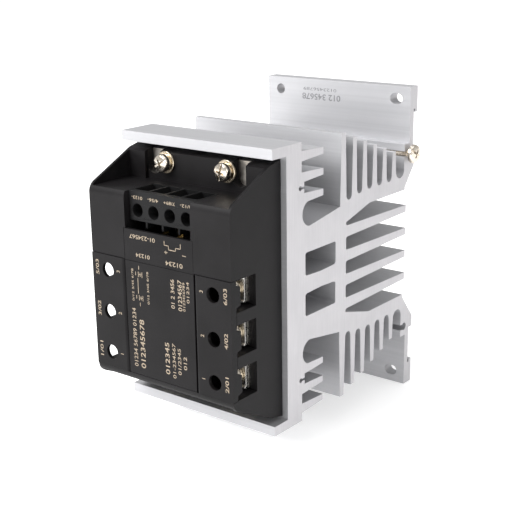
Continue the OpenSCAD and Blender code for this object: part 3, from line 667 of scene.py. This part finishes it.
panel_rows = [
    column("01234 56789 01234", 0.105, 0.055, 0.465, 2.1),
    column("012345678", 0.215, 0.055, 0.395, 2.6, 0.00002),
    column("012345", 0.585, 0.065, 0.285, 2.3, 0.00002),
    column("01-234567", 0.683, 0.05, 0.29, 1.7),
    column("01/2345", 0.762, 0.085, 0.265, 1.7),
    column("012", 0.845, 0.13, 0.22, 1.8),
    column("0/12 3/45 6/78", 0.105, 0.515, 0.735, 1.1),
    column("0/12 3/45 6/78", 0.333, 0.515, 0.735, 1.1),
    column("01 2 3456", 0.695, 0.53, 0.725, 2.0, 0.00002),
    column("01234567", 0.80, 0.525, 0.73, 2.2, 0.00002),
    column("0123456789", 0.856, 0.53, 0.72, 1.2),
    column("01234", 0.915, 0.59, 0.73, 1.4),
    {"text": "01234", "size": 1.7 * MM, "way": "down_top", "at": on_panel(0.275, 0.835), "width": 7.6 * MM,
     "bold": 0.00001},
    {"text": "01234", "size": 1.9 * MM, "way": "down_top", "at": on_panel(0.73, 0.825), "width": 9.0 * MM,
     "bold": 0.00001},
    {"text": "01-234567", "size": 1.8 * MM, "way": "down_top", "at": on_panel(0.275, 0.955),
     "width": 14.0 * MM, "bold": 0.00001},
]


def stroke(u0, v0, u1, v1, w=0.28):
    """A straight printed line along X or Z on the panel."""
    a, b = on_panel(u0, v0), on_panel(u1, v1)
    h = w * MM / 2
    return (min(a.x, b.x) - h, min(a.z, b.z) - h, max(a.x, b.x) + h, max(a.z, b.z) + h, PANEL_Y)


panel_bars = [stroke(0.185, 0.575, 0.185, 0.675), stroke(0.205, 0.49, 0.205, 0.51),
              stroke(0.205, 0.74, 0.205, 0.76)]
for v in (0.545, 0.705):
    panel_bars += [stroke(0.155, v - 0.008, 0.155, v + 0.012), stroke(0.195, v, 0.25, v),
                   stroke(0.195, v - 0.016, 0.195, v + 0.016), stroke(0.25, v - 0.016, 0.25, v + 0.016),
                   stroke(0.222, v - 0.011, 0.222, v + 0.011)]
# A plain contact symbol in the upper right of the panel
CONTACT = [(0.60, 0.965), (0.60, 0.94), (0.66, 0.94), (0.66, 0.915), (0.76, 0.915), (0.76, 0.935),
           (0.83, 0.935), (0.83, 0.965)]
panel_bars += [stroke(*a, *b) for a, b in zip(CONTACT, CONTACT[1:])]
panel_bars += [stroke(0.855, 0.895, 0.90, 0.895), stroke(0.60, 0.895, 0.64, 0.895),
               stroke(0.62, 0.887, 0.62, 0.903)]
printing("panel_printing", panel_rows, "relay", INK, panel_bars)

block_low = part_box("control_terminal_block")[0]
screw_x = [centre_of(f"control_screw_{i}").x for i in range(1, 5)]
CONTROL_Z = centre_of("control_screw_1").z
BLOCK_Y = block_low.y - INK_T * 0.45
printing("control_printing", [
    {"text": t, "size": 1.35 * MM, "way": "down_top", "at": Vector((x, BLOCK_Y, CONTROL_Z + 5.2 * MM)),
     "width": 5.9 * MM, "bold": 0.00001}
    for x, t in zip(screw_x, ("0123-", "4/56-", "7/89+", "0/12-"))
], "relay", INK)

for side, sign, marks in (("left", -1, ("1", "3", "5")), ("right", 1, ("2", "4", "6"))):
    low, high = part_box(f"{side}_terminal_cover")
    y = low.y - INK_T * 0.45
    rows = []
    first = 1 if side == "left" else 4
    for k in range(3):
        c = centre_of(f"power_screw_{first + 2 - k}")
        rows.append({"text": f"{marks[k]}/0{k + 1}", "size": 1.8 * MM, "way": "up",
                     "at": Vector((c.x + 6.2 * sign * MM, y, c.z + 0.5 * MM)), "width": 6.5 * MM,
                     "bold": 0.00001})
        rows.append({"text": str(k + 1), "size": 1.8 * MM, "way": "up",
                     "at": Vector((c.x - 5.9 * sign * MM, y, c.z + 0.4 * MM)), "bold": 0.00001})
    printing(f"{side}_cover_printing", rows, f"{side}_cover", INK)

plate_front = min(v.co.y for v in NODES["heatsink"].data.vertices if v.co.z > 0.06 and v.co.y > -0.02)
LABEL_Y = plate_front - INK_T * 0.45
printing("plate_printing", [
    {"text": "012 345678", "size": 2.9 * MM, "way": "down_top", "at": Vector((-8.8 * MM, LABEL_Y, 63.4 * MM)),
     "width": 22 * MM, "bold": 0.0001},
    {"text": "0123456789", "size": 1.5 * MM, "way": "down_top", "at": Vector((-9.6 * MM, LABEL_Y, 67.0 * MM)),
     "width": 19 * MM, "bold": 0.00002},
], "relay", LABEL_INK)


# ---------------------------------------------------------------- stage, light and camera

def studio():
    """A plain pale floor under plain soft light."""
    low, high = CAD_BOX
    bm = bmesh.new()
    bmesh.ops.create_grid(bm, x_segments=1, y_segments=1, size=6)
    floor = scratch(mesh_from(bm, "floor"), "studio_floor")
    floor.location = ((low.x + high.x) / 2, (low.y + high.y) / 2, low.z - 0.2 * MM)
    g = Graph("floor_paint")
    soft = g.noise(g.scaled(1, 1, 1), 6, 2, 0.5)
    g.shader.inputs["Emission Color"].default_value = (1, 1, 1, 1)
    floor.data.materials.append(g.finish(g.blend(soft, (0.93, 0.93, 0.93), (0.95, 0.95, 0.95)), None, None,
                                         Roughness=0.9, Emission_Strength=0.42))
    world = bpy.data.worlds.new("studio")
    world.use_nodes = True
    tree = world.node_tree
    soft = tree.nodes["Background"]
    soft.inputs["Color"].default_value = (1, 1, 1, 1)
    soft.inputs["Strength"].default_value = 0.6
    backdrop = tree.nodes.new("ShaderNodeBackground")
    backdrop.inputs["Color"].default_value = (1, 1, 1, 1)
    seen = tree.nodes.new("ShaderNodeLightPath")
    mix = tree.nodes.new("ShaderNodeMixShader")
    tree.links.new(seen.outputs["Is Camera Ray"], mix.inputs["Fac"])
    tree.links.new(soft.outputs["Background"], mix.inputs[1])
    tree.links.new(backdrop.outputs["Background"], mix.inputs[2])
    tree.links.new(mix.outputs["Shader"], tree.nodes["World Output"].inputs["Surface"])
    bpy.context.scene.world = world
    target = (low + high) / 2
    for name, spot, size, power in (
        ("key", (-0.7, -1.6, 1.35), 1.3, 66.0),
        ("fill", (0.95, -0.35, 0.45), 0.7, 2.0),
        ("top", (0.1, 0.1, 1.1), 0.9, 2.0),
    ):
        lamp = bpy.data.lights.new(name, "AREA")
        lamp.shape = "DISK"
        lamp.size = size
        lamp.energy = power
        o = bpy.data.objects.new(name, lamp)
        bpy.context.scene.collection.objects.link(o)
        o.location = target + Vector(spot)
        o.rotation_mode = "QUATERNION"
        o.rotation_quaternion = (target - o.location).to_track_quat("-Z", "Y")


def camera():
    cam = bpy.data.cameras.new("camera")
    o = bpy.data.objects.new("camera", cam)
    bpy.context.scene.collection.objects.link(o)
    right = Vector((0.786945, 0.616846, -0.014744))
    up = Vector((-0.162762, 0.230575, 0.959345))
    back = right.cross(up).normalized()
    up = back.cross(right).normalized()
    turn = Matrix((right.normalized(), up, back)).transposed().to_4x4()
    o.matrix_world = Matrix.Translation((0.28707, -0.43357, 0.13776)) @ turn
    cam.sensor_width = 36
    cam.lens = 76.87
    cam.shift_x = 0.0016
    cam.shift_y = 0.0008
    cam.clip_start, cam.clip_end = 0.02, 20
    bpy.context.scene.camera = o


studio()
camera()
bpy.context.scene.view_settings.view_transform = "Standard"
